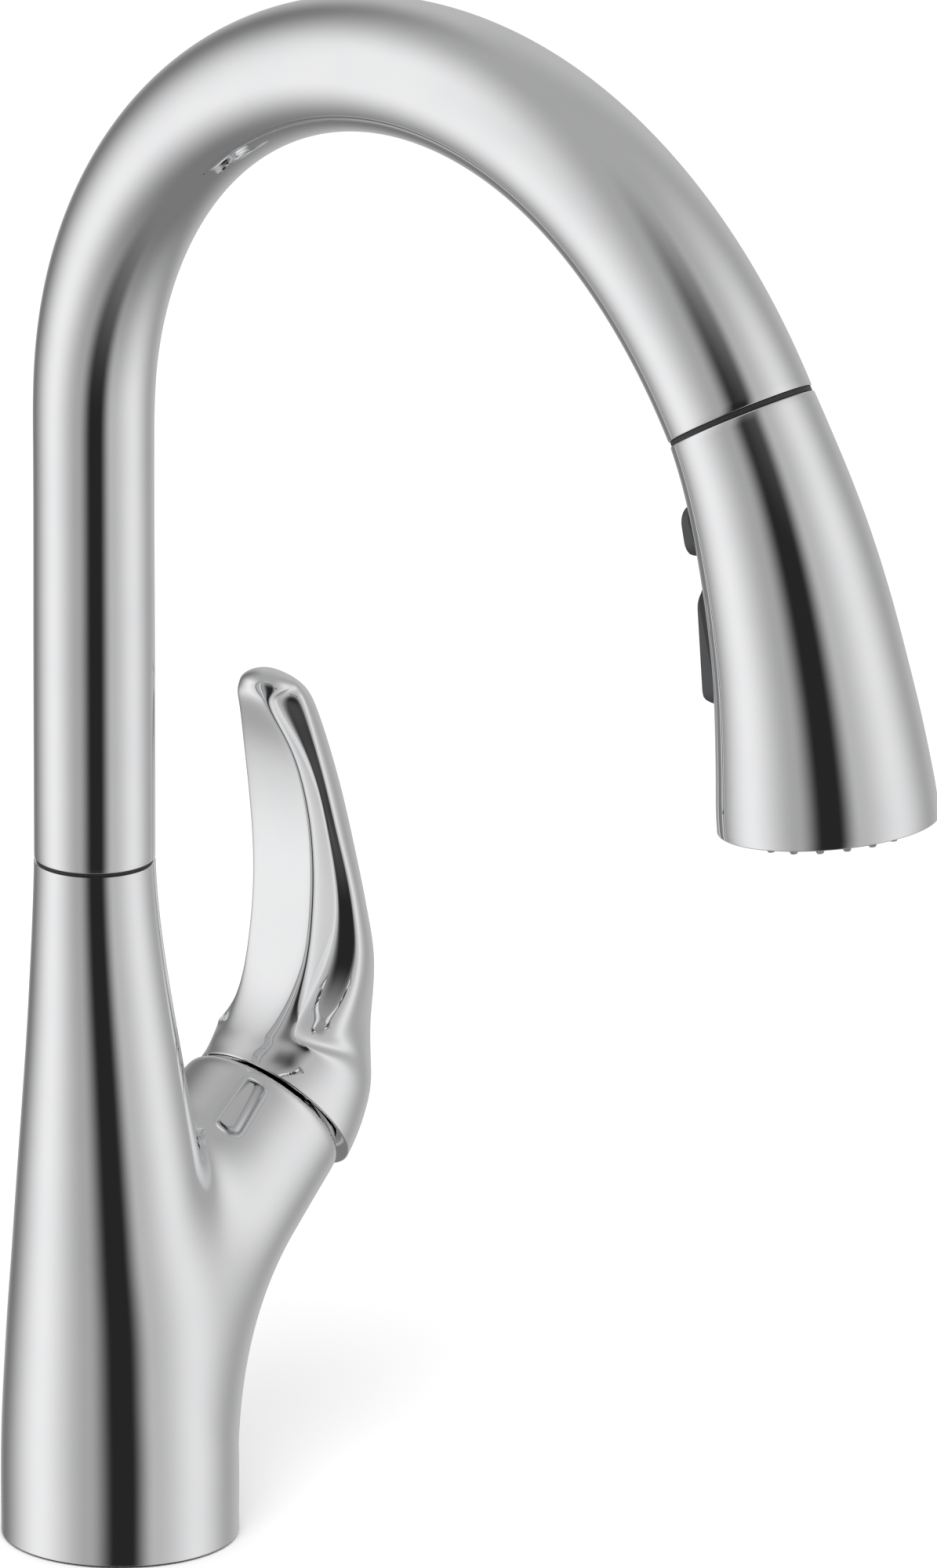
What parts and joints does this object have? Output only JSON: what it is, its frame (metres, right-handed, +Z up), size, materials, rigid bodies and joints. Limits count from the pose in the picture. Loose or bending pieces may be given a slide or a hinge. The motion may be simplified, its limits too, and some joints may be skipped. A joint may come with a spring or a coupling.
{
  "type": "pull down kitchen faucet",
  "caption": "Single-handle gooseneck kitchen faucet with a flared foot, scooped side lever, swivelling arched spout and docked pull down spray head with push buttons.",
  "frame": {"origin": "centre of the foot on the deck surface, on the axis of the deck hole", "axes": "+Z up, spout towards -Y, handle towards +X"},
  "size_m": [0.1217, 0.2977, 0.5145],
  "materials": {
    "polished_chrome": "mirror polished chrome plate",
    "machined_brass": "machined brass",
    "steel": "plain machined steel",
    "copper": "drawn copper tube",
    "ceramic": null,
    "black_rubber": "soft black seal rubber",
    "grey_rubber": "soft grey silicone",
    "black_plastic": "fine matt moulded plastic",
    "button_grey": "dark grey soft-touch buttons",
    "white_plastic": "natural acetal",
    "grey_plastic": "mid grey moulded plastic",
    "magnet": "nickel plated magnet",
    "cartridge_metal": "sintered steel",
    "hose_braid": "grey nylon braid"
  },
  "bodies": {
    "base": {"valve_body": "polished_chrome", "base_gasket": "black_rubber", "swivel_ring": "black_plastic", "spout_hub": "machined_brass", "hub_o_rings": "black_rubber", "port_seals": "black_rubber", "cartridge_housing": "white_plastic", "cartridge_o_ring": "black_rubber", "fixed_ceramic_disc": "ceramic", "bonnet_nut": "machined_brass", "mounting_shank": "machined_brass", "mounting_washer": "steel", "mounting_nut": "black_plastic", "hot_inlet_tube": "copper", "cold_inlet_tube": "copper", "outlet_tube": "copper", "hose_guide": "white_plastic"},
    "mixer": {"moving_ceramic_disc": "ceramic", "cartridge_carrier": "white_plastic", "stem_pin": "steel", "bonnet_dome": "polished_chrome"},
    "lever": {"cartridge_stem": "cartridge_metal", "lever_handle": "polished_chrome", "handle_screw": "steel", "screw_plug": "button_grey"},
    "spout": {"spout_tube": "polished_chrome", "spout_bearing": "white_plastic", "hub_clip": "white_plastic", "docking_insert": "black_plastic", "docking_magnet": "magnet", "pull_hose": "hose_braid", "hose_coupling": "machined_brass"},
    "hose_end": {"hose_fitting": "machined_brass", "fitting_o_ring": "black_rubber"},
    "spray_head": {"head_collar_ring": "black_plastic", "head_shell": "polished_chrome", "docking_plate": "steel", "waterway_core": "white_plastic", "check_valve": "white_plastic", "spray_bezel": "black_plastic", "pause_bezel": "black_plastic", "spray_spring": "steel", "pause_spring": "steel", "spray_face": "grey_plastic", "spray_nozzles": "grey_rubber", "aerator_body": "grey_plastic", "aerator_screen": "steel"},
    "spray_button": {"spray_button": "button_grey", "diverter_spool": "white_plastic"},
    "pause_button": {"pause_button": "button_grey", "pause_plunger": "white_plastic"}
  },
  "joints": [
    {"name": "spout_swivel", "type": "hinge", "parent": "base", "child": "spout", "pos_m": [-0.00862, 0, 0.1767], "axis": [0, 0, 1], "continuous": true},
    {"name": "temperature_turn", "type": "hinge", "parent": "base", "child": "mixer", "pos_m": [0.0537, 0, 0.0972], "axis": [0.7771, 0, 0.6293], "range_deg": [-45, 45]},
    {"name": "lever_lift", "type": "hinge", "parent": "mixer", "child": "lever", "pos_m": [0.03816, 0, 0.08461], "axis": [0, 1, 0], "range_deg": [0, 25]},
    {"name": "head_pull", "type": "slide", "parent": "spout", "child": "hose_end", "axis": [0, -0.5044, -0.8634], "range_m": [0, 0.2], "deforming": ["pull_hose"]},
    {"name": "head_turn", "type": "hinge", "parent": "hose_end", "child": "spray_head", "pos_m": [-0.00862, -0.21197, 0.33625], "axis": [0, -0.5044, -0.8634], "continuous": true},
    {"name": "spray_button_press", "type": "slide", "parent": "spray_head", "child": "spray_button", "axis": [0, -0.969, 0.2469], "range_m": [0, 0.002], "stiffness_N_per_m": 900, "springref_m": -0.001, "deforming": ["spray_spring"]},
    {"name": "pause_button_press", "type": "slide", "parent": "spray_head", "child": "pause_button", "axis": [0, -0.9237, 0.3832], "range_m": [0, 0.002], "stiffness_N_per_m": 900, "springref_m": -0.001, "deforming": ["pause_spring"]}
  ]
}
